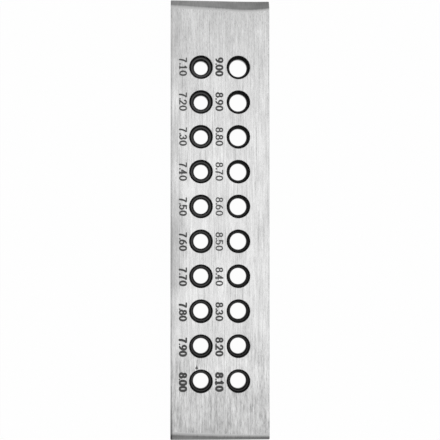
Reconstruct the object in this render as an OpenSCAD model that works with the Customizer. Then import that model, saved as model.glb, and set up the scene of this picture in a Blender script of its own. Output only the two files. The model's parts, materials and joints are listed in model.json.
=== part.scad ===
// Wire draw plate: a ground steel plate that holds two columns of carbide
// drawing dies, in millimetres.
// The plate lies on its back. +Z points out of the numbered face, +Y towards
// the end that has the smallest and the largest die, and the origin is at the
// middle of the back face. Wire enters a die at the back and leaves at the
// numbered face, so the pull seats each die against a lip of the plate.

/* [Plate] */
// Width of the steel plate
plate_width = 51.5; // [48:0.5:60]
// Length of the steel plate
plate_length = 229; // [218:1:260]
// Thickness of the steel plate
plate_thickness = 12; // [11:0.5:16]
// Broken edge round both faces
edge_break = 0.4; // [0.2:0.1:0.8]
// Broken edge at the four upright corners
corner_break = 0.6; // [0.2:0.1:1.5]

/* [Ground ends] */
// Width of the bevel on the far end, at the left edge
far_bevel_left = 2.4; // [1:0.1:5]
// Width of the bevel on the far end, at the right edge
far_bevel_right = 4.5; // [1:0.1:6]
// Width of the bevel on the near end, at the left edge
near_bevel_left = 2.5; // [1:0.1:5]
// Width of the bevel on the near end, at the right edge
near_bevel_right = 1.4; // [1:0.1:5]
// Slope of both bevels below the face, in degrees
bevel_slope = 35; // [20:1:50]

/* [Hole pattern] */
// Number of dies in each of the two columns
rows = 10; // [2:1:10]
// Distance from die to die in a column
row_pitch = 18.15; // [16.5:0.05:19]
// Distance from column to column
column_gap = 19.5; // [17:0.25:21]
// Distance from the far end to the first row
far_margin = 35.2; // [20:0.1:38]
// Distance from the left edge to the left column
left_margin = 15.75; // [12.5:0.25:19]

/* [Dies] */
// Bore of the smallest die
smallest_bore = 7.1; // [6:0.1:7.5]
// Step in bore from one die to the next
bore_step = 0.1; // [0.05:0.01:0.12]
// Diameter of a die and of its seat, a press fit
die_diameter = 14.5; // [13.8:0.1:15.5]
// Lead-in chamfer at both ends of a die
die_chamfer = 0.4; // [0.2:0.1:0.5]
// Rim left round the bell mouth at the back of a die
bell_rim = 0.8; // [0.6:0.1:1.2]
// Depth of the bell mouth that guides the wire in
bell_depth = 2; // [1:0.1:3]
// Half angle of the approach cone that reduces the wire, in degrees
approach_angle = 8; // [5:0.5:10]
// Length of the straight bearing that sizes the wire
bearing_length = 2.2; // [1:0.1:3]
// Length of the relief cone on the exit side
relief_length = 1.8; // [1:0.1:2.5]
// Half angle of the relief cone, in degrees
relief_angle = 25; // [15:1:30]

/* [Seats] */
// Diameter of each opening in the numbered face
opening_diameter = 11.9; // [11.4:0.1:13]
// Chamfer round each opening
opening_chamfer = 0.25; // [0.1:0.05:0.5]
// Thickness of the lip that a die is pulled against
lip_thickness = 1.6; // [1:0.1:2.5]
// Chamfer round the mouth of each seat, on the back
seat_chamfer = 0.3; // [0.1:0.05:0.5]
// Depth of a die's back end below the back face
die_recess = 0.2; // [0.1:0.05:0.5]

/* [Hidden] */
$fn = 96;
// Reach of a cutting shape past the surface that it cuts
cut_reach = 1;

die_count = 2 * rows;
die_radius = die_diameter / 2;
opening_radius = opening_diameter / 2;
bell_radius = die_radius - bell_rim;

// Heights along a die, from the back face of the plate
die_back = die_recess;
bell_end = die_back + bell_depth;
die_front = plate_thickness - lip_thickness;
bearing_end = die_front - relief_length;
bearing_start = bearing_end - bearing_length;

relief_flare = relief_length * tan(relief_angle);
approach_flare = (bearing_start - bell_end) * tan(approach_angle);

// Dies count down the left column and back up the right one
function bore_of(i) = smallest_bore + i * bore_step;
function row_of(i) = i < rows ? i : die_count - 1 - i;
function column_of(i) = i < rows ? 0 : 1;
function place_of(i) = [
    left_margin - plate_width / 2 + column_of(i) * column_gap,
    plate_length / 2 - far_margin - row_of(i) * row_pitch,
    0
];

// A die is named for its bore, such as die_7_10 for 7.10 mm
function two_digits(n) = str(n < 10 ? "0" : "", n);
function die_name(i) = let (hundredths = round(bore_of(i) * 100))
    str("die_", floor(hundredths / 100), "_", two_digits(hundredths % 100));

// A rectangle about the origin whose corners are cut off at 45 degrees
module broken_rectangle(size, corner) {
    x = size[0] / 2;
    y = size[1] / 2;
    polygon([
        [-x + corner, -y], [x - corner, -y], [x, -y + corner], [x, y - corner],
        [x - corner, y], [-x + corner, y], [-x, y - corner], [-x, -y + corner]
    ]);
}

// The plate before it is bored: its three outlines, each carried through
module plate_blank() {
    middle = [0, 0, plate_thickness / 2];
    intersection() {
        linear_extrude(plate_thickness)
            broken_rectangle([plate_width, plate_length], corner_break);
        translate(middle) rotate([90, 0, 0])
            linear_extrude(plate_length, center = true)
                broken_rectangle([plate_width, plate_thickness], edge_break);
        translate(middle) rotate([90, 0, 90])
            linear_extrude(plate_width, center = true)
                broken_rectangle([plate_length, plate_thickness], edge_break);
    }
}

// What the grinder takes off the far end: all above a plane that leaves the
// numbered face along a line slanted from one edge to the other
module bevel_cut(left, right) {
    block = plate_width + plate_length;
    translate([0, (plate_length - left - right) / 2, plate_thickness])
        rotate([0, 0, atan2(left - right, plate_width)])
            rotate([-bevel_slope, 0, 0])
                translate([-block / 2, -block / 2, 0]) cube(block);
}

// The stepped hole for one die, bored from the back, with the lip's opening
module seat_cut() {
    rotate_extrude() polygon([
        [0, -cut_reach],
        [die_radius + seat_chamfer + cut_reach, -cut_reach],
        [die_radius, seat_chamfer],
        [die_radius, die_front],
        [opening_radius, die_front],
        [opening_radius, plate_thickness - opening_chamfer],
        [opening_radius + opening_chamfer + cut_reach, plate_thickness + cut_reach],
        [0, plate_thickness + cut_reach]
    ]);
}

module plate() {
    color([0.82, 0.82, 0.83]) difference() {
        plate_blank();
        bevel_cut(far_bevel_left, far_bevel_right);
        mirror([0, 1, 0]) bevel_cut(near_bevel_left, near_bevel_right);
        for (i = [0 : die_count - 1]) translate(place_of(i)) seat_cut();
    }
}

// One carbide die: bell mouth, approach, bearing and relief from back to front
module die(i) {
    bore_radius = bore_of(i) / 2;
    color([0.16, 0.16, 0.17]) translate(place_of(i)) rotate_extrude() polygon([
        [bell_radius, die_back],
        [die_radius - die_chamfer, die_back],
        [die_radius, die_back + die_chamfer],
        [die_radius, die_front - die_chamfer],
        [die_radius - die_chamfer, die_front],
        [bore_radius + relief_flare, die_front],
        [bore_radius, bearing_end],
        [bore_radius, bearing_start],
        [bore_radius + approach_flare, bell_end]
    ]);
}

plate();
for (i = [0 : die_count - 1])
    die(i);
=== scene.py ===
import json
import math
from typing import NamedTuple

import bpy
import numpy as np
from mathutils import Matrix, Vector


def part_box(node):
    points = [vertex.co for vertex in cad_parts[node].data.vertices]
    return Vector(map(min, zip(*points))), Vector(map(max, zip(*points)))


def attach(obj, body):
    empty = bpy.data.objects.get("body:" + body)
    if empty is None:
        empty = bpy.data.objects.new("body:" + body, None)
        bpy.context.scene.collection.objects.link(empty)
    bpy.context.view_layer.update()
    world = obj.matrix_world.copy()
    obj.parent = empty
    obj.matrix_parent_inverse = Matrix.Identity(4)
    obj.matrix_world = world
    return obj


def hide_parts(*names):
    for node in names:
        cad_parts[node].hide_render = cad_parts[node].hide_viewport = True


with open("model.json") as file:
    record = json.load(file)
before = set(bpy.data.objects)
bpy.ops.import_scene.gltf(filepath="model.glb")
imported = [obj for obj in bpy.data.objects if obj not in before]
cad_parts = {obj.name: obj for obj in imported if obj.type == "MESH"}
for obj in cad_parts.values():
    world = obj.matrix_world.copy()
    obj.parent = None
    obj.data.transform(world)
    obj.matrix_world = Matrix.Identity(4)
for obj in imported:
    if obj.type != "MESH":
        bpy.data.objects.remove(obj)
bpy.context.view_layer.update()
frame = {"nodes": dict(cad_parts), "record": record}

# A wire draw plate on its back: a ground steel plate that holds two columns of carbide dies, with the
# size of each die engraved beside it. Every length is in metres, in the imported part's own frame: +X
# points to the right, +Y to the far end and +Z out of the numbered face.
MM = 0.001

# The plate, measured on its solid
PLATE_LOW, PLATE_HIGH = (np.array(corner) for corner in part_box("plate"))
WIDTH, LENGTH, THICKNESS = PLATE_HIGH - PLATE_LOW
FACE = PLATE_HIGH[2]

# Its edges: their rounding, waves as (share of the rounding, length of a radian, phase), and extra wear
# of the top left edge, which fades along the plate from the near end
EDGE_ROUND = 0.4 * MM
EDGE_WAVES = [(0.06, 9.0 * MM, 0), (0.05, 3.7 * MM, 1)]
WORN_EDGE = 0.5 * MM
WORN_REACH = 35 * MM
FLAT_GUARD = 0.2 * MM

# The bevels ground on both ends: their slope, the blend at its start, and their widths along the plate,
# the far one's from its value at the left edge and the near one's from its value at the right edge
BEVEL_SLOPE = math.radians(35)
BEVEL_BLEND = 1.8 * MM
BLEND_RUN_IN = 0.2
SOFT_LEFT = 0.9
WEDGE_RISE = 3.0 * MM
FAR_BEVEL = 2.75 * MM
FAR_BEVEL_RISE = 3.5 * MM
FAR_BEVEL_TURN = 0.65
FAR_BEVEL_FALL = 16.0 * MM
NEAR_BEVEL = 1.8 * MM
NEAR_BEVEL_RISE = 1.1 * MM

# The seats of the dies, as the plate's solid has them. An opening's chamfer is rounded over by a middle
# point, at a share of its width from the wall and from the face, and the tool runs out on a slope
OPENING_RADIUS = 5.95 * MM
OPENING_CHAMFER = 0.25 * MM
ROUNDED_OVER = 0.4
RUN_OUT_SLOPE = 0.6
SEAT_CHAMFER = 0.3 * MM

# The dies
BELL_RIM = 0.8 * MM
BELL_DEPTH = 2.0 * MM
APPROACH_ANGLE = math.radians(8)
RELIEF_ANGLE = math.radians(25)
DIE_CHAMFER = 0.4 * MM
DIE_EASE = 0.25 * MM
POLISH_REACH = 0.5 * MM

# The engraved sizes: a digit along the middle of its cut, and where the digits and the marks stand
DIGIT_WIDTH = 2.0 * MM
DIGIT_HEIGHT = 3.45 * MM
FIGURE_PLACES = np.array([-3.48, -1.38, 0.35, 3.48]) * MM
MARK_OFFSETS = {"left": 9.34 * MM, "right": 9.94 * MM}
MARK_RISE = 0.25 * MM
MARK_DRIFT = 0.62 * MM

# The cut of the engraved sizes: its lightest and deepest form, where down a column it is lightest and
# how heavy it is there, and the share of it that is left where a stroke runs across a figure
LIGHT_CUT = {"width": 0.68 * MM, "depth": 0.10 * MM}
DEEP_CUT = {"width": 1.42 * MM, "depth": 0.24 * MM}
LIGHTEST_ROW = {"left": 0.15, "right": 0.45}
LIGHTEST_WEIGHT = {"left": 0.35, "right": 0.15}
THIN_SHARE = 0.72
POINT_WIDTH = 0.9 * MM

# The graver's tool: where its walls end above the face, in half widths and in depths of the cut, and the
# angle in radians at which its round tip starts
WALL_SPREAD = 1.3
WALL_RISE = 0.6
TIP_START = 0.1

# A slip of the graver near the last left die, as offsets from the die's middle, from scratch to pit
NICK_START = np.array([-1.9, 10.95]) * MM
NICK_END = np.array([-2.2, 6.9]) * MM
NICK_WIDTH = 1.6 * MM
NICK_DEPTH = 0.10 * MM
NICK_TAIL = 0.15
NICK_GROWTH = 5

# How finely shapes are divided, the angles in degrees past which their edges stay sharp, and how far a
# cutting tool reaches past the surface that it cuts
TURN_SIDES = 96
ARC_STEPS = 5
PLATE_STATIONS = 61
SIDE_STEPS = 11
BEVEL_STATIONS = 49
BLEND_STEPS = 9
GROOVE_STEPS = 7
NICK_STEPS = 13
FLOOR_STEPS = 21
PLATE_SHARP = 26
DIE_SHARP = 35
REACH = 1.0 * MM


class Die:
    """Where one die sits and how wide it is, read from its solid and from its bore in the record."""

    bores = {mount["name"]: mount for mount in frame["record"]["mounts"] if mount["kind"] == "bore"}

    def __init__(self, node):
        low, high = (np.array(corner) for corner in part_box(node))
        bore = self.bores[node.replace("die", "bore")]
        half_bearing = bore["dims"]["length_mm"] * MM / 2
        self.node = node
        self.size_mark = node.removeprefix("die_").replace("_", ".")
        self.centre = (low + high)[:2] / 2
        self.radius = (high - low)[0] / 2
        self.back, self.front = low[2], high[2]
        self.bore = bore["dims"]["r_mm"] * MM
        self.bearing_start = bore["pos_m"][2] - half_bearing
        self.bearing_end = bore["pos_m"][2] + half_bearing
        self.column = "left" if self.centre[0] < 0 else "right"


DIES = [Die(name) for name in sorted(frame["nodes"]) if name.startswith("die_")]
FIRST_ROW = max(die.centre[1] for die in DIES)
LAST_ROW = min(die.centre[1] for die in DIES)


# Surfaces

def skin(rings, loop=False):
    """A surface over a stack of rings with a quad between neighbouring points.

    rings has the shape (stations, points, 3). With loop the last ring joins the first, and otherwise one
    flat face closes each end. Returns the points and a list of index arrays, one for each size of face.
    """
    stations, points = rings.shape[:2]
    index = np.arange(stations * points).reshape(stations, points)
    here = index if loop else index[:-1]
    ahead = np.roll(index, -1, axis=0) if loop else index[1:]
    corners = [here, np.roll(here, -1, axis=1), np.roll(ahead, -1, axis=1), ahead]
    faces = [np.stack(corners, axis=-1).reshape(-1, 4)]
    if not loop:
        faces.append(np.stack([index[0, ::-1], index[-1]]))
    return rings.reshape(-1, 3), faces


def join(surfaces):
    """Several surfaces as one: all points in a row, each surface's indices moved past those before."""
    counts = [len(points) for points, _ in surfaces]
    starts = np.cumsum([0] + counts[:-1])
    faces = [group + start for start, (_, groups) in zip(starts, surfaces) for group in groups]
    return np.concatenate([points for points, _ in surfaces]), faces


def mesh_object(name, surface, finishes, finish_of_face=None):
    """A mesh object at the origin from a surface, with its finishes and each face's number among them."""
    points, groups = surface
    corners = np.concatenate([group.ravel() for group in groups])
    sizes = np.concatenate([np.full(len(group), group.shape[1]) for group in groups])
    mesh = bpy.data.meshes.new(name)
    mesh.vertices.add(len(points))
    mesh.vertices.foreach_set("co", points.astype(np.float32).ravel())
    mesh.loops.add(len(corners))
    mesh.loops.foreach_set("vertex_index", corners.astype(np.int32))
    mesh.polygons.add(len(sizes))
    mesh.polygons.foreach_set("loop_start", (np.cumsum(sizes) - sizes).astype(np.int32))
    for finish in finishes:
        mesh.materials.append(finish)
    if finish_of_face is not None:
        mesh.polygons.foreach_set("material_index", finish_of_face.astype(np.int32))
    mesh.update(calc_edges=True)
    mesh.validate()
    piece = bpy.data.objects.new(name, mesh)
    bpy.context.scene.collection.objects.link(piece)
    return piece


def smooth(piece, angle):
    """Smooth shading, with an edge kept sharp where its faces meet at more than the angle in degrees."""
    piece.data.shade_smooth()
    piece.data.set_sharp_from_angle(angle=math.radians(angle))


def cut(piece, tool, crossing=False):
    """Take the tool's volume out of the piece.

    The cut faces have the tool's finish, and the tool is removed. crossing says that parts of the tool
    run through each other.
    """
    boolean = piece.modifiers.new("cut", "BOOLEAN")
    boolean.operation = "DIFFERENCE"
    boolean.solver = "EXACT"
    boolean.use_self = crossing
    boolean.material_mode = "TRANSFER"
    boolean.object = tool
    bpy.context.view_layer.update()
    evaluated = piece.evaluated_get(bpy.context.evaluated_depsgraph_get())
    result = bpy.data.meshes.new_from_object(evaluated)
    piece.modifiers.clear()
    piece.data = result
    bpy.data.objects.remove(tool)


def turned(profile, centre):
    """Rings of a turned shape: each (radius, height) of the profile becomes a circle round the upright
    line through centre."""
    angle = np.linspace(0, 2 * np.pi, TURN_SIDES, endpoint=False)
    radius, height = profile.T[..., None]
    x = centre[0] + radius * np.cos(angle)
    y = centre[1] + radius * np.sin(angle)
    return np.stack([x, y, height + 0 * angle], axis=-1)


def eased(outline, reach, most=0.45):
    """A closed outline with each corner replaced by a parabola.

    The parabola leaves one side and meets the next a reach away from the corner, but never further along
    a side than the share of it that most gives.
    """
    before = np.roll(outline, 1, axis=0) - outline
    after = np.roll(outline, -1, axis=0) - outline
    before_length = np.linalg.norm(before, axis=1, keepdims=True)
    after_length = np.linalg.norm(after, axis=1, keepdims=True)
    start = before * np.minimum(reach / before_length, most)
    end = after * np.minimum(reach / after_length, most)
    way = np.linspace(0, 1, ARC_STEPS)[:, None]
    curve = (1 - way) ** 2 * start[:, None] + way ** 2 * end[:, None]
    return (outline[:, None] + curve).reshape(-1, outline.shape[1])


# How a finish is built

class Value:
    """A number that varies over a surface. Arithmetic on it adds Math nodes to its node tree."""

    def __init__(self, nodes, socket):
        self.nodes = nodes
        self.socket = socket

    def math(self, operation, *terms):
        """A Math node's result for the terms."""
        return self.nodes.add("ShaderNodeMath", {"operation": operation}, dict(enumerate(terms)))

    def __add__(self, other):
        return self.math("ADD", self, other)

    def __sub__(self, other):
        return self.math("SUBTRACT", self, other)

    def __rsub__(self, other):
        return self.math("SUBTRACT", other, self)

    def __mul__(self, other):
        return self.math("MULTIPLY", self, other)

    __radd__ = __add__
    __rmul__ = __mul__

    def __abs__(self):
        return self.math("ABSOLUTE", self)

    def at_least(self, other):
        """The larger one of both."""
        return self.math("MAXIMUM", self, other)

    def ramp(self, low, high):
        """0 below low and 1 above high, with a smooth step between them."""
        settings = {"interpolation_type": "SMOOTHSTEP"}
        sockets = {"Value": self, "From Min": low, "From Max": high}
        return self.nodes.add("ShaderNodeMapRange", settings, sockets)


class Nodes:
    """A node tree that is built from expressions."""

    def __init__(self, tree):
        self.tree = tree

    def feed(self, socket, value):
        """Link a Value to a socket, or set the socket to a plain number, colour or vector."""
        if isinstance(value, Value):
            self.tree.links.new(value.socket, socket)
        else:
            socket.default_value = value

    def add(self, kind, settings=None, sockets=None, output=0):
        """A new node of a kind: its settings are set first, then its sockets. Returns one output."""
        node = self.tree.nodes.new(kind)
        for name, value in (settings or {}).items():
            setattr(node, name, value)
        for name, value in (sockets or {}).items():
            self.feed(node.inputs[name], value)
        return Value(self, node.outputs[output])

    def parts(self, vector):
        """The X, Y and Z of a vector."""
        node = self.add("ShaderNodeSeparateXYZ", None, {0: vector}).socket.node
        return [Value(self, socket) for socket in node.outputs]

    def grey(self, value):
        """A colour of equal parts from one number."""
        return self.add("ShaderNodeCombineColor", None, {0: value, 1: value, 2: value})


class Layer(NamedTuple):
    """One layer of noise in a finish.

    cells is the size of its cells in millimetres along X, Y and Z. detail and gain say how many finer
    layers lie in it and how strong they are. tone, roughness and relief are its shares in the finish's.
    """

    cells: tuple
    detail: float = 2.0
    gain: float = 0.5
    tone: float = 0.0
    roughness: float = 0.0
    relief: float = 0.0


class Finish(Nodes):
    """A material with one Principled shader, whose patterns lie on the piece's Object coordinates."""

    def __init__(self, name, **constants):
        self.material = bpy.data.materials.new(name)
        self.material.use_nodes = True
        super().__init__(self.material.node_tree)
        self.shader = self.tree.nodes["Principled BSDF"]
        self.place = self.add("ShaderNodeTexCoord", output="Object")
        self.noises = {}
        self.set(**constants)

    def set(self, **values):
        """Feed the shader's sockets: base_color feeds Base Color."""
        for name, value in values.items():
            self.feed(self.shader.inputs[name.replace("_", " ").title()], value)

    def dress(self, tone, roughness, relief, depth):
        """Feed the shader a grey tone, a roughness and a relief, whose 0 to 1 stands for a depth."""
        sockets = {"Height": relief, "Distance": depth, "Strength": 1.0}
        normal = self.add("ShaderNodeBump", None, sockets)
        self.set(base_color=self.grey(tone), roughness=roughness, normal=normal)

    def noise(self, layer):
        """The noise of a layer, from -0.5 to 0.5. Its nodes are made once."""
        if layer not in self.noises:
            scale = [1 / (cell * MM) for cell in layer.cells]
            stretched = self.add("ShaderNodeMapping", None, {"Vector": self.place, "Scale": scale})
            sockets = {"Vector": stretched, "Scale": 1.0, "Detail": layer.detail, "Roughness": layer.gain}
            self.noises[layer] = self.add("ShaderNodeTexNoise", None, sockets) - 0.5
        return self.noises[layer]

    def total(self, layers, share):
        """The sum of the layers' noise, each times its share in the tone, roughness or relief."""
        shares = [(layer, getattr(layer, share)) for layer in layers]
        return sum(self.noise(layer) * amount for layer, amount in shares if amount)

    def attribute(self, name):
        """A value that the piece's points carry."""
        return self.add("ShaderNodeAttribute", {"attribute_name": name}, output="Fac")


# Painted shade on the left edge, standing in for the dark that its rounding reflects: how wide, how far
# from the near end, and how dark along the plate and there
EDGE_SHADE_CORE = 0.3 * MM
EDGE_SHADE_WIDTH = 1.5 * MM
EDGE_SHADE_REACH = 32 * MM
EDGE_SHADE_SHARE = 0.08
EDGE_SHADE_NEAR_SHARE = 0.65


def painted_shade_edge(steel):
    """How much painted shade darkens the left edge: a little along the plate, and most at the near end.
    """
    across, along, _ = steel.parts(steel.place)
    rim = 1 - (across + WIDTH / 2).ramp(EDGE_SHADE_CORE, EDGE_SHADE_WIDTH)
    near = 1 - (along + LENGTH / 2).ramp(0, EDGE_SHADE_REACH)
    return rim * (EDGE_SHADE_SHARE + near * EDGE_SHADE_NEAR_SHARE)


# Brushed steel: the brush's strokes, the grain over them, and rare scratches
BRUSHED_TONE = 0.70
BRUSHED_ROUGHNESS = 0.30
BRUSHED_DEPTH = 0.03 * MM
BROAD = Layer((1.3, 14.0, 1.3), detail=3.0, gain=0.55, tone=0.28)
LONG_STREAK = Layer((0.55, 22.0, 0.55), detail=1.5, tone=0.34)
STREAK = Layer((0.50, 4.0, 0.50), detail=1.5, tone=0.44, roughness=0.20, relief=0.6)
STROKES = (BROAD, LONG_STREAK, STREAK)
FINE = Layer((0.24, 1.5, 0.24), tone=0.50, roughness=0.15, relief=0.4)
HAIRLINE = Layer((0.07, 9.0, 0.07), tone=0.34, relief=0.5)
CLOUD = Layer((9.0, 20.0, 9.0), tone=0.30)
GRAIN = (FINE, HAIRLINE, CLOUD)
SCRATCH = Layer((0.35, 26.0, 0.35), detail=1.0, tone=-0.10, roughness=0.10, relief=-0.5)
SCRATCH_START = 0.16
SCRATCH_FULL = 0.24

# Its wear and painted shade: a dull, patchy left margin, partly darkened by painted shade, with a stretch
# where it is gripped, and a coarse near end darkened by painted shade
DULL_SHADED_LEFT = 10 * MM
DULL_SHADED_LEFT_SHARE = 0.08
PATCH = Layer((6.0, 26.0, 6.0), tone=0.45)
GRIP_PLACE = -13 * MM
GRIP_CORE = 19.2 * MM
GRIP_REACH = 32 * MM
GRIP_SHARE = 0.16
DULL_ROUGHNESS = 0.3
SHADED_NEAR = 36 * MM
SHADED_NEAR_SHARE = 0.14
SHADED_NEAR_RAGGED = 14 * MM
COARSE_NEAR = 20 * MM
COARSE_FAR = 60 * MM
COARSEST = 1.8
COARSE_FALL = 0.85


def brushed_steel():
    """Bright steel brushed lengthwise: long soft strokes under finer grain, a few deeper scratches and
    faint cloudy patches.

    The strokes are coarser towards the near end. The left margin, most where it is gripped, is a little
    duller and darker, the darkening partly painted shade; the near end and the left edge itself are
    darkened by painted shade.
    """
    steel = Finish("brushed_steel", metallic=1.0)
    across, along, _ = steel.parts(steel.place)
    from_near = along + LENGTH / 2
    margin = 1 - (across + WIDTH / 2).ramp(0, DULL_SHADED_LEFT)
    grip = 1 - abs(along - GRIP_PLACE).ramp(GRIP_CORE, GRIP_REACH)
    # Partly painted shade: the left margin's darker tone stands in for light falling off there, while its
    # added roughness is a duller finish
    dull_and_shaded_left = margin * (DULL_SHADED_LEFT_SHARE + grip * GRIP_SHARE + steel.total([PATCH], "tone"))
    # Painted shade: the near end is darker in colour, with a ragged start
    ragged = from_near + steel.noise(BROAD) * SHADED_NEAR_RAGGED
    painted_shade_near = (1 - ragged.ramp(0, SHADED_NEAR)) * SHADED_NEAR_SHARE
    coarse = COARSEST - from_near.ramp(COARSE_NEAR, COARSE_FAR) * COARSE_FALL
    scratch = steel.noise(SCRATCH).ramp(SCRATCH_START, SCRATCH_FULL)
    brushing = steel.total(STROKES, "tone") * coarse + steel.total(GRAIN, "tone")
    undarkened = BRUSHED_TONE + brushing + scratch * SCRATCH.tone
    # The tone darkens with painted shade at the left margin, at the near end and on the left edge
    tone = undarkened * (1 - dull_and_shaded_left.at_least(painted_shade_near)) * (1 - painted_shade_edge(steel))
    brushed = BRUSHED_ROUGHNESS + steel.total(STROKES + GRAIN, "roughness")
    roughness = brushed + scratch * SCRATCH.roughness + dull_and_shaded_left * DULL_ROUGHNESS
    relief = steel.total(STROKES + GRAIN, "relief") + scratch * SCRATCH.relief
    steel.dress(tone, roughness, relief, BRUSHED_DEPTH)
    return steel.material


# Ground steel: the grinder's marks and stains, the blend into the face, and the darker right side
GROUND_TONE = 0.35
GROUND_ROUGHNESS = 0.42
GROUND_DEPTH = 0.015 * MM
MARKS = Layer((0.45, 5.0, 5.0), detail=3.0, gain=0.6, tone=0.24, roughness=0.20, relief=1.0)
STAIN = Layer((7.0, 4.0, 4.0), tone=0.14)
BLEND_TONE = 0.68
BLEND_SMOOTHER = 0.1
BLEND_DEPTH = 0.5 * MM
BLEND_RAGGED = 0.3 * MM
DARK_START = -12 * MM
DARK_SHARE = 0.22


def ground_steel():
    """Steel ground by hand on the ends: marks run down the slope on a duller, darker surface.

    It darkens to the right, brightens to the brushed face over the rounded start of a bevel, and is
    darkened by painted shade along the left edge.
    """
    steel = Finish("ground_steel", metallic=1.0)
    across, _, height = steel.parts(steel.place)
    ragged = height + steel.noise(MARKS) * BLEND_RAGGED
    blend = ragged.ramp(FACE - BLEND_DEPTH, FACE)
    dark = across.ramp(DARK_START, WIDTH / 2) * DARK_SHARE
    ground = (GROUND_TONE + steel.total([MARKS, STAIN], "tone")) * (1 - dark)
    # Painted shade darkens the tone along the left edge
    tone = (ground + blend * (BLEND_TONE - ground)) * (1 - painted_shade_edge(steel))
    roughness = GROUND_ROUGHNESS - blend * BLEND_SMOOTHER + steel.total([MARKS], "roughness")
    steel.dress(tone, roughness, steel.total([MARKS], "relief"), GROUND_DEPTH)
    return steel.material


# Bored steel, kept dark as painted shade of the recesses
BORED_TONE = 0.12
BORED_ROUGHNESS = 0.38
BORED_DEPTH = 0.008 * MM
BORED_RINGS = Layer((3.0, 3.0, 0.10), tone=0.08, roughness=0.20, relief=1.0)


def bored_steel():
    """The turned walls of the seats and openings: fine rings round the bore, on a dull grey that is
    darkened as painted shade of the recesses.
    """
    steel = Finish("bored_steel", metallic=1.0)
    # Painted shade: the walls' grey is kept dark
    tone = BORED_TONE + steel.total([BORED_RINGS], "tone")
    roughness = BORED_ROUGHNESS + steel.total([BORED_RINGS], "roughness")
    steel.dress(tone, roughness, steel.total([BORED_RINGS], "relief"), BORED_DEPTH)
    return steel.material


# The engraving: residue with grit, paler where the cut is shallow, and bare metal at its lips
ENGRAVED_TONE = 0.07
ENGRAVED_ROUGHNESS = 0.62
ENGRAVED_DEPTH = 0.01 * MM
GRIT = Layer((0.15, 0.15, 0.15), tone=0.03, relief=1.0)
SHALLOW_TOP = 0.02 * MM
SHALLOW_END = 0.16 * MM
SHALLOW_TONE = 0.14
LIP_DEPTH = 0.03 * MM
LIP_TONE = 0.06
LIP_SMOOTHER = 0.2
LIP_METAL = 0.6


def engraved_steel():
    """The cut of the engraved sizes: dark residue, with a little bare metal at the lips of the cut."""
    mark = Finish("engraved_steel")
    _, _, height = mark.parts(mark.place)
    lip = height.ramp(FACE - LIP_DEPTH, FACE)
    shallow = height.ramp(FACE - SHALLOW_END, FACE - SHALLOW_TOP)
    residue = ENGRAVED_TONE + mark.total([GRIT], "tone")
    tone = residue + shallow * SHALLOW_TONE + lip * LIP_TONE
    roughness = ENGRAVED_ROUGHNESS - lip * LIP_SMOOTHER
    mark.dress(tone, roughness, mark.total([GRIT], "relief"), ENGRAVED_DEPTH)
    mark.set(metallic=lip * LIP_METAL)
    return mark.material


# Carbide: turned rings and sintered grain, painted shade by the distance from the bore's middle, and
# polish
CARBIDE_TONE = 0.09
CARBIDE_ROUGHNESS = 0.46
CARBIDE_DEPTH = 0.006 * MM
CARBIDE_GRAIN = Layer((0.3, 0.3, 0.3), detail=3.0, tone=0.02, roughness=0.20, relief=0.3)
RING_WIDTH = MM / 9
RING_DETAIL = 2.0
RING_TONE = 0.03
RING_RELIEF = 0.7
CORNER_SHADE_START = 4.75 * MM
CORNER_SHADE_FULL = 5.6 * MM
SHADE_UNDER_LIP = 0.86
SHADE_ON_RELIEF = 0.85
CORNER_ROUGHNESS = 0.15
POLISH_TONE = 0.03
POLISH_SMOOTHER = 0.30
BLACKEST = 0.004
SMOOTHEST = 0.1


def dark_carbide():
    """Sintered carbide: near black, with fine turned rings, black painted shade in the corner under the
    lip and on the relief cone, and a polished bearing."""
    carbide = Finish("dark_carbide", metallic=1.0)
    along = carbide.attribute("along")
    front_radius = carbide.attribute("front_radius")
    polish = carbide.attribute("polish")
    relief_cone = carbide.attribute("relief")
    sockets = {"W": along, "Scale": 1 / RING_WIDTH, "Detail": RING_DETAIL}
    rings = carbide.add("ShaderNodeTexNoise", {"noise_dimensions": "1D"}, sockets) - 0.5
    corner = front_radius.ramp(CORNER_SHADE_START, CORNER_SHADE_FULL)
    # Painted shade: the corner under the lip and the relief cone are darkened in colour
    undarkened = (1 - corner * SHADE_UNDER_LIP) * (1 - relief_cone * SHADE_ON_RELIEF)
    turned_tone = CARBIDE_TONE + rings * RING_TONE + carbide.total([CARBIDE_GRAIN], "tone")
    tone = turned_tone * undarkened + polish * POLISH_TONE
    rough = CARBIDE_ROUGHNESS + carbide.total([CARBIDE_GRAIN], "roughness")
    roughness = rough - polish * POLISH_SMOOTHER + corner * CORNER_ROUGHNESS
    relief = rings * RING_RELIEF + carbide.total([CARBIDE_GRAIN], "relief")
    carbide.dress(tone.at_least(BLACKEST), roughness.at_least(SMOOTHEST), relief, CARBIDE_DEPTH)
    return carbide.material


# The plate

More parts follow.
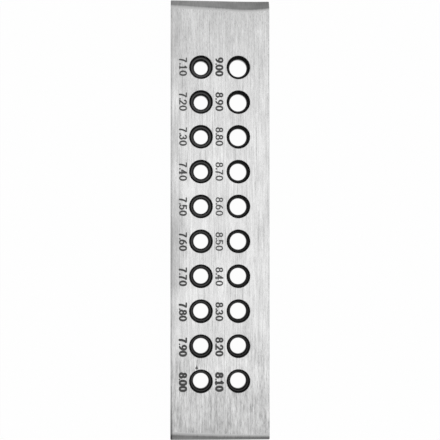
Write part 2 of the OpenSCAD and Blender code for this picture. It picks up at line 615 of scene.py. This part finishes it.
def plate_blank(finishes):
    """The plate before it is cut: a rounded rectangle across X and Z carried along Y.

    Near both ends the rectangle shrinks on a quarter circle, so the ends are rounded too. The top left
    edge is worn rounder towards the near end, and all four edges vary a little along the plate. Each flat
    side has a line of points close to its round edges, which keeps the shading of the flat side flat. The
    two end faces have the second finish.
    """
    quarter = np.linspace(0, np.pi / 2, ARC_STEPS)
    inset_at_end = EDGE_ROUND * (1 - np.sin(quarter))
    y_at_end = EDGE_ROUND * (1 - np.cos(quarter))
    first = EDGE_ROUND + FLAT_GUARD
    middle = np.linspace(first, LENGTH - first, PLATE_STATIONS)
    y = np.concatenate([y_at_end, middle, LENGTH - y_at_end[::-1]])
    inset = np.concatenate([inset_at_end, 0 * middle, inset_at_end[::-1]])[:, None]
    wave = sum(share * np.sin(y / radian + phase) for share, radian, phase in EDGE_WAVES)
    wears = [np.exp(-y / WORN_REACH), 0, 0, 0]
    turns = [np.pi - quarter, np.pi / 2 - quarter, -quarter, -np.pi / 2 - quarter]
    sides = [(-1, True), (1, True), (1, False), (-1, False)]
    arcs = []
    for (side, top), turn, wear in zip(sides, turns, wears):
        radius = (EDGE_ROUND * (1 + wave) + WORN_EDGE * wear)[:, None]
        x = side * (WIDTH / 2 - inset - radius) + radius * np.cos(turn)
        z = (FACE - inset - radius if top else inset + radius) + radius * np.sin(turn)
        arcs.append(np.stack([x, y[:, None] - LENGTH / 2 + 0 * x, z], axis=-1))
    section = []
    for arc_points, next_arc, reach in zip(arcs, arcs[1:] + arcs[:1], [WIDTH, THICKNESS] * 2):
        guard = FLAT_GUARD / reach
        share = np.concatenate([[guard], np.linspace(0, 1, SIDE_STEPS)[1:-1], [1 - guard]])[:, None]
        start, end = arc_points[:, -1:], next_arc[:, :1]
        section += [arc_points, start + (end - start) * share]
    surface = skin(np.concatenate(section, axis=1))
    finish_of_face = np.zeros(sum(len(group) for group in surface[1]))
    finish_of_face[-2:] = 1
    return mesh_object("steel_plate", surface, finishes, finish_of_face)


def grinding_tool(far, finish):
    """What the grinder takes off an end: a wedge over a slope that starts at the bevel's edge.

    The wedge's outline across Y and Z is carried along X. The edge's distance from the end follows the
    hand: on the far end it grows to the right and then turns back, and on the near end it shrinks. From
    the face the slope leaves on a parabola, which reaches the full slope a blend's length further out and
    runs in from a little above the face. The blend is longest at the left.
    """
    x = np.linspace(-WIDTH / 2 - REACH, WIDTH / 2 + REACH, BEVEL_STATIONS)[:, None]
    way = x / WIDTH + 0.5
    turned_back = FAR_BEVEL_FALL * np.maximum(way - FAR_BEVEL_TURN, 0) ** 2
    far_width = FAR_BEVEL + FAR_BEVEL_RISE * way - turned_back
    near_width = NEAR_BEVEL + NEAR_BEVEL_RISE * (1 - way) ** 2
    edge = LENGTH / 2 - (far_width if far else near_width)
    end = LENGTH / 2 + REACH
    slope = math.tan(BEVEL_SLOPE)
    blend = BEVEL_BLEND * (1 + SOFT_LEFT * (1 - way) ** 2)
    out = np.linspace(-BLEND_RUN_IN, 1, BLEND_STEPS)
    blend_y = edge + blend * (out - 0.5)
    blend_z = FACE - np.sign(out) * slope * blend * out ** 2 / 2
    over = FACE + WEDGE_RISE + 0 * x
    y = np.concatenate([blend_y, end + 0 * x, end + 0 * x, blend_y[:, :1]], axis=1)
    z = np.concatenate([blend_z, FACE - (end - edge) * slope, over, over], axis=1)
    rings = np.stack([x + 0 * y, y, z], axis=-1)
    if not far:
        rings = rings[:, ::-1] * (1, -1, 1)
    return mesh_object("grinding_tool", skin(rings), [finish])


def boring_tool(finish):
    """The stepped holes of all dies: each is a turned profile with the seat, the lip and two chamfers."""
    rounded = OPENING_CHAMFER * ROUNDED_OVER
    rim = OPENING_RADIUS + OPENING_CHAMFER
    holes = []
    for die in DIES:
        profile = np.array([
            (die.radius + SEAT_CHAMFER + REACH, -REACH),
            (die.radius, SEAT_CHAMFER),
            (die.radius, die.front),
            (OPENING_RADIUS, die.front),
            (OPENING_RADIUS, FACE - OPENING_CHAMFER),
            (OPENING_RADIUS + rounded, FACE - rounded),
            (rim, FACE),
            (rim + REACH, FACE + REACH * RUN_OUT_SLOPE),
        ])
        holes.append(skin(turned(profile, die.centre)))
    return mesh_object("boring_tool", join(holes), [finish])


# The engraved sizes, in strokes on a digit that reaches from -1 to 1 across and up

def line(start, end, steps=6):
    """Points from start to end."""
    return np.linspace(start, end, steps)


def arc(centre, radii, start, end, steps=25):
    """Points of an ellipse's arc, from one angle to another in degrees."""
    angle = np.radians(np.linspace(start, end, steps))[:, None]
    return np.array(centre) + np.hstack([np.cos(angle), np.sin(angle)]) * radii


def digit_strokes():
    """The strokes of each figure: straight runs and arcs of ellipses, with short serifs on 1 and 4."""
    bowl = arc((0, -0.4), (0.95, 0.6), 90, 450, 33)
    stem = arc((0.75, -0.4), (1.7, 1.4), 100, 180, 13)
    neck = [arc((0, 0.42), (0.92, 0.58), 170, -30), line((0.62, -0.02), (-0.9, -1))]
    return {
        "0": [arc((0, 0), (1, 1), 90, 450, 41)],
        "1": [line((0.1, 1), (0.1, -1)), line((-0.5, 0.62), (0.1, 1)), line((-0.6, -1), (0.8, -1))],
        "2": [np.concatenate(neck), line((-0.9, -1), (0.95, -1))],
        "3": [arc((-0.05, 0.52), (0.8, 0.48), 155, -90), arc((-0.05, -0.48), (0.95, 0.52), 90, -155)],
        "4": [line((0.35, 1), (-1, -0.35)), line((-1, -0.35), (1, -0.35)),
              line((0.35, 1), (0.35, -1)), line((-0.1, -1), (0.8, -1))],
        "5": [line((0.75, 1), (-0.65, 1)), line((-0.65, 1), (-0.78, 0.04)),
              arc((-0.05, -0.38), (1.0, 0.62), 138, -145)],
        "6": [bowl, stem],
        "7": [line((-0.95, 1), (0.95, 1)), arc((1.9, -1), (2.05, 2.1), 117, 180, 13)],
        "8": [arc((0, 0.52), (0.78, 0.48), 90, 450, 33), arc((0, -0.46), (0.98, 0.54), 90, 450, 33)],
        "9": [-bowl, -stem],
        ".": [line((-0.01, -1), (0.01, -1), 3)],
    }


def groove(path, width, depth):
    """The tool for one stroke: a parabola carried along the path on the face.

    The path has a width and a depth for each of its points. A closed path is a ring. An open path runs on
    by half a width at both ends, where the parabola shrinks on a quarter circle to a round tip. Above the
    face the tool's walls open a little further.
    """
    closed = np.allclose(path[0], path[-1])
    if closed:
        path, width, depth = path[:-1], width[:-1], depth[:-1]
        tangent = np.roll(path, -1, axis=0) - np.roll(path, 1, axis=0)
    else:
        turn = np.linspace(TIP_START, np.pi / 2, ARC_STEPS, endpoint=False)
        run_on = np.cos(turn)[:, None] / 2
        first = (path[1] - path[0]) / np.linalg.norm(path[1] - path[0]) * width[0]
        last = (path[-1] - path[-2]) / np.linalg.norm(path[-1] - path[-2]) * width[-1]
        path = np.concatenate([path[0] - first * run_on, path, path[-1] + last * run_on[::-1]])
        tip = np.sin(turn)
        width = np.concatenate([tip * width[0], width, tip[::-1] * width[-1]])
        depth = np.concatenate([tip * depth[0], depth, tip[::-1] * depth[-1]])
        tangent = np.gradient(path, axis=0)
    tangent = tangent / np.linalg.norm(tangent, axis=1, keepdims=True)
    left = np.stack([-tangent[:, 1], tangent[:, 0]], axis=-1)
    bed = np.linspace(-1, 1, GROOVE_STEPS)
    across = np.append(bed, [WALL_SPREAD, -WALL_SPREAD])
    down = np.append(1 - bed ** 2, [-WALL_RISE, -WALL_RISE])
    flat = path[:, None] + left[:, None] * (width[:, None] / 2 * across)[..., None]
    height = FACE - depth[:, None] * down
    return skin(np.concatenate([flat, height[..., None]], axis=-1), loop=closed)


def nick():
    """The slip of the graver: a straight groove that widens with a high power of the way to its pit."""
    die = max((die for die in DIES if die.column == "left"), key=lambda die: die.bore)
    growth = NICK_TAIL + (1 - NICK_TAIL) * np.linspace(0, 1, NICK_STEPS) ** NICK_GROWTH
    path = die.centre + line(NICK_START, NICK_END, NICK_STEPS)
    return groove(path, NICK_WIDTH * growth, NICK_DEPTH * growth)


def engraving_tool(finish):
    """The tool for all sizes beside the dies. A figure's own right points down the plate, its top to +X.

    The cuts are deepest in the last rows, and lightest some rows from the far end. A stroke is widest and
    deepest where it runs up the figure, and thins out where it runs across. A point stands on the foot
    line of the figures.
    """
    strokes = digit_strokes()
    half_digit = np.array([DIGIT_WIDTH, DIGIT_HEIGHT]) / 2
    grooves = []
    for die in DIES:
        row = (FIRST_ROW - die.centre[1]) / (FIRST_ROW - LAST_ROW)
        lightest, least = LIGHTEST_ROW[die.column], LIGHTEST_WEIGHT[die.column]
        weight = least + (1 - least) * ((row - lightest) / (1 - lightest)) ** 2
        width = LIGHT_CUT["width"] + (DEEP_CUT["width"] - LIGHT_CUT["width"]) * weight
        depth = LIGHT_CUT["depth"] + (DEEP_CUT["depth"] - LIGHT_CUT["depth"]) * weight
        middle = die.centre - (MARK_OFFSETS[die.column], MARK_DRIFT * row - MARK_RISE)
        for figure, place in zip(die.size_mark, FIGURE_PLACES):
            full_width = POINT_WIDTH / THIN_SHARE if figure == "." else width
            lift = (full_width - width) * THIN_SHARE / 2
            for stroke in strokes[figure]:
                right, up = (stroke * half_digit).T
                path = middle + np.stack([up + lift, -right - place], axis=-1)
                run_right, run_up = np.gradient(right), np.gradient(up)
                steep = run_up ** 2 / (run_right ** 2 + run_up ** 2)
                share = THIN_SHARE + (1 - THIN_SHARE) * steep
                grooves.append(groove(path, full_width * share, depth * share))
    return mesh_object("engraving_tool", join(grooves + [nick()]), [finish])


def steel_plate():
    """The plate: a blank, ground on both ends, bored for the dies and engraved with their sizes."""
    ground = ground_steel()
    plate = plate_blank([brushed_steel(), ground])
    cut(plate, grinding_tool(True, ground))
    cut(plate, grinding_tool(False, ground))
    cut(plate, boring_tool(bored_steel()))
    cut(plate, engraving_tool(engraved_steel()), crossing=True)
    smooth(plate, PLATE_SHARP)
    plate.modifiers.new("flat_faces", "WEIGHTED_NORMAL").keep_sharp = True
    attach(plate, "root")
    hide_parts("plate")


# The dies

def carbide_die(die, finish):
    """One die: a closed outline with eased corners, turned round its bore.

    From the back it has a bell mouth, an approach cone, a straight bearing and a relief cone. The points
    carry their way along the outline, their radius where they face the lip, how far they are polished and
    whether they are on the relief cone.
    """
    bell_end = die.back + BELL_DEPTH
    approach = (die.bearing_start - bell_end) * math.tan(APPROACH_ANGLE)
    relief = (die.front - die.bearing_end) * math.tan(RELIEF_ANGLE)
    outline = np.array([
        (die.radius, (die.back + die.front) / 2),
        (die.radius, die.front - DIE_CHAMFER),
        (die.radius - DIE_CHAMFER, die.front),
        (die.bore + relief, die.front),
        (die.bore, die.bearing_end),
        (die.bore, die.bearing_start),
        (die.bore + approach, bell_end),
        (die.radius - BELL_RIM, die.back),
        (die.radius - DIE_CHAMFER, die.back),
        (die.radius, die.back + DIE_CHAMFER),
    ])
    profile = eased(outline, DIE_EASE)
    surface = skin(turned(profile, die.centre), loop=True)
    piece = mesh_object("carbide_" + die.node, surface, [finish])
    steps = np.linalg.norm(np.diff(profile, axis=0), axis=1)
    radius, height = profile.T
    on_relief = (height > die.bearing_end) & (radius < die.bore + relief)
    near_bore = np.clip((die.bore + POLISH_REACH - radius) / POLISH_REACH, 0, 1)
    values = {
        "along": np.append(0, np.cumsum(steps)),
        "front_radius": np.where(height > die.bearing_end, radius, 0),
        "polish": near_bore * ~on_relief,
        "relief": on_relief,
    }
    for name, value in values.items():
        layer = piece.data.attributes.new(name, "FLOAT", "POINT")
        layer.data.foreach_set("value", np.repeat(value, TURN_SIDES).astype(np.float32))
    smooth(piece, DIE_SHARP)
    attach(piece, "root")
    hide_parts(die.node)


# The stage

# The camera: its place and aim, its sensor in millimetres, and the plate's share of the frame
CAMERA = np.array([-32.0, -12.5, 637.0]) * MM
AIM = np.array([-0.1, -0.35, 12.0]) * MM
SENSOR = 36.0
FRAME_SHARE = 440.2 / 440

# The floor and the low backdrop round it
FLOOR_GAP = 0.05 * MM
FLOOR_MIDDLE = 0.4
FLOOR_REACH = 9.0
BACKDROP_FOOT = 4.0
BACKDROP_HEIGHT = 1.0
FLOOR_COLOUR = (0.85, 0.85, 0.85, 1)
FLOOR_ROUGHNESS = 0.9
WHITE = (1, 1, 1, 1)
WHITE_SHARE = 0.98

# The light: a lamp in metres and watts, and the world's strength, which rises overhead, right and far
LAMP_PLACE = np.array([0.08, 0.0, 1.0])
LAMP_SIZE = 0.50
LAMP_POWER = 0.46
WORLD_STRENGTH = 0.47
OVERHEAD_START = 0.15
OVERHEAD_FULL = 0.9
OVERHEAD_RISE = 0.23
RIGHT_RISE = 0.10
FAR_RISE = 0.10


def look(place):
    """The matrix of a camera or lamp at a place that looks at the aim, with +Y up in its picture."""
    back = (place - AIM) / np.linalg.norm(place - AIM)
    right = np.cross((0, 1, 0), back)
    right = right / np.linalg.norm(right)
    matrix = np.eye(4)
    matrix[:3] = np.stack([right, np.cross(back, right), back, place], axis=-1)
    return Matrix(matrix.tolist())


def camera():
    """A camera above the numbered face, aimed at its middle, whose lens makes the plate fill the
    photograph's share of the frame."""
    data = bpy.data.cameras.new("camera")
    data.sensor_width = SENSOR
    data.lens = SENSOR * np.linalg.norm(CAMERA - AIM) * FRAME_SHARE / LENGTH
    eye = bpy.data.objects.new("camera", data)
    eye.matrix_world = look(CAMERA)
    bpy.context.scene.collection.objects.link(eye)
    bpy.context.scene.camera = eye


def overhead_lamp():
    """A square soft lamp above the numbered face, which the camera doesn't see."""
    data = bpy.data.lights.new("overhead", "AREA")
    data.size = LAMP_SIZE
    data.energy = LAMP_POWER
    lamp = bpy.data.objects.new("overhead", data)
    lamp.matrix_world = look(LAMP_PLACE)
    lamp.visible_camera = False
    bpy.context.scene.collection.objects.link(lamp)


def seen(nodes):
    """1 for rays of the camera, of gloss and of glass, and 0 for rays of light."""
    rays = ("Is Camera Ray", "Is Glossy Ray", "Is Transmission Ray")
    sight, gloss, glass = (nodes.add("ShaderNodeLightPath", output=ray) for ray in rays)
    return sight.at_least(gloss).at_least(glass)


def floor():
    """A pale floor that looks white and keeps a faint shadow of the plate.

    It is a turned dish: flat in the middle, and far out it curves up into a low backdrop, where its
    height grows with the square of the way from the backdrop's foot to its edge. Of the two faces that
    close a turned skin, it keeps the one in the middle.
    """
    radius = np.linspace(FLOOR_MIDDLE, FLOOR_REACH, FLOOR_STEPS)
    way = np.maximum(radius - BACKDROP_FOOT, 0) / (FLOOR_REACH - BACKDROP_FOOT)
    profile = np.stack([radius, BACKDROP_HEIGHT * way ** 2 - FLOOR_GAP], axis=-1)
    points, (dish, ends) = skin(turned(profile, (0, 0)))
    middle = ends[:1]
    pale = Finish("pale_floor", base_color=FLOOR_COLOUR, roughness=FLOOR_ROUGHNESS)
    body = Value(pale, pale.shader.outputs[0])
    glow = pale.add("ShaderNodeEmission", None, {"Color": WHITE, "Strength": 1.0})
    shown = pale.add("ShaderNodeMixShader", None, {0: seen(pale) * WHITE_SHARE, 1: body, 2: glow})
    pale.feed(pale.tree.nodes["Material Output"].inputs["Surface"], shown)
    mesh_object("floor", (points, [dish, middle]), [pale.material])


def studio():
    """Soft light from all sides, which is brighter overhead and a little brighter from the right and the
    far side."""
    world = bpy.data.worlds.new("studio")
    world.use_nodes = True
    bpy.context.scene.world = world
    nodes = Nodes(world.node_tree)
    right, far, up = nodes.parts(nodes.add("ShaderNodeTexCoord", output="Generated"))
    overhead = up.ramp(OVERHEAD_START, OVERHEAD_FULL) * OVERHEAD_RISE
    background = world.node_tree.nodes["Background"]
    nodes.feed(background.inputs["Color"], WHITE)
    light = WORLD_STRENGTH + overhead + right * RIGHT_RISE + far * FAR_RISE
    nodes.feed(background.inputs["Strength"], light)


camera()
steel_plate()
carbide = dark_carbide()
for each_die in DIES:
    carbide_die(each_die, carbide)
floor()
studio()
overhead_lamp()
bpy.context.scene.view_settings.view_transform = "Standard"
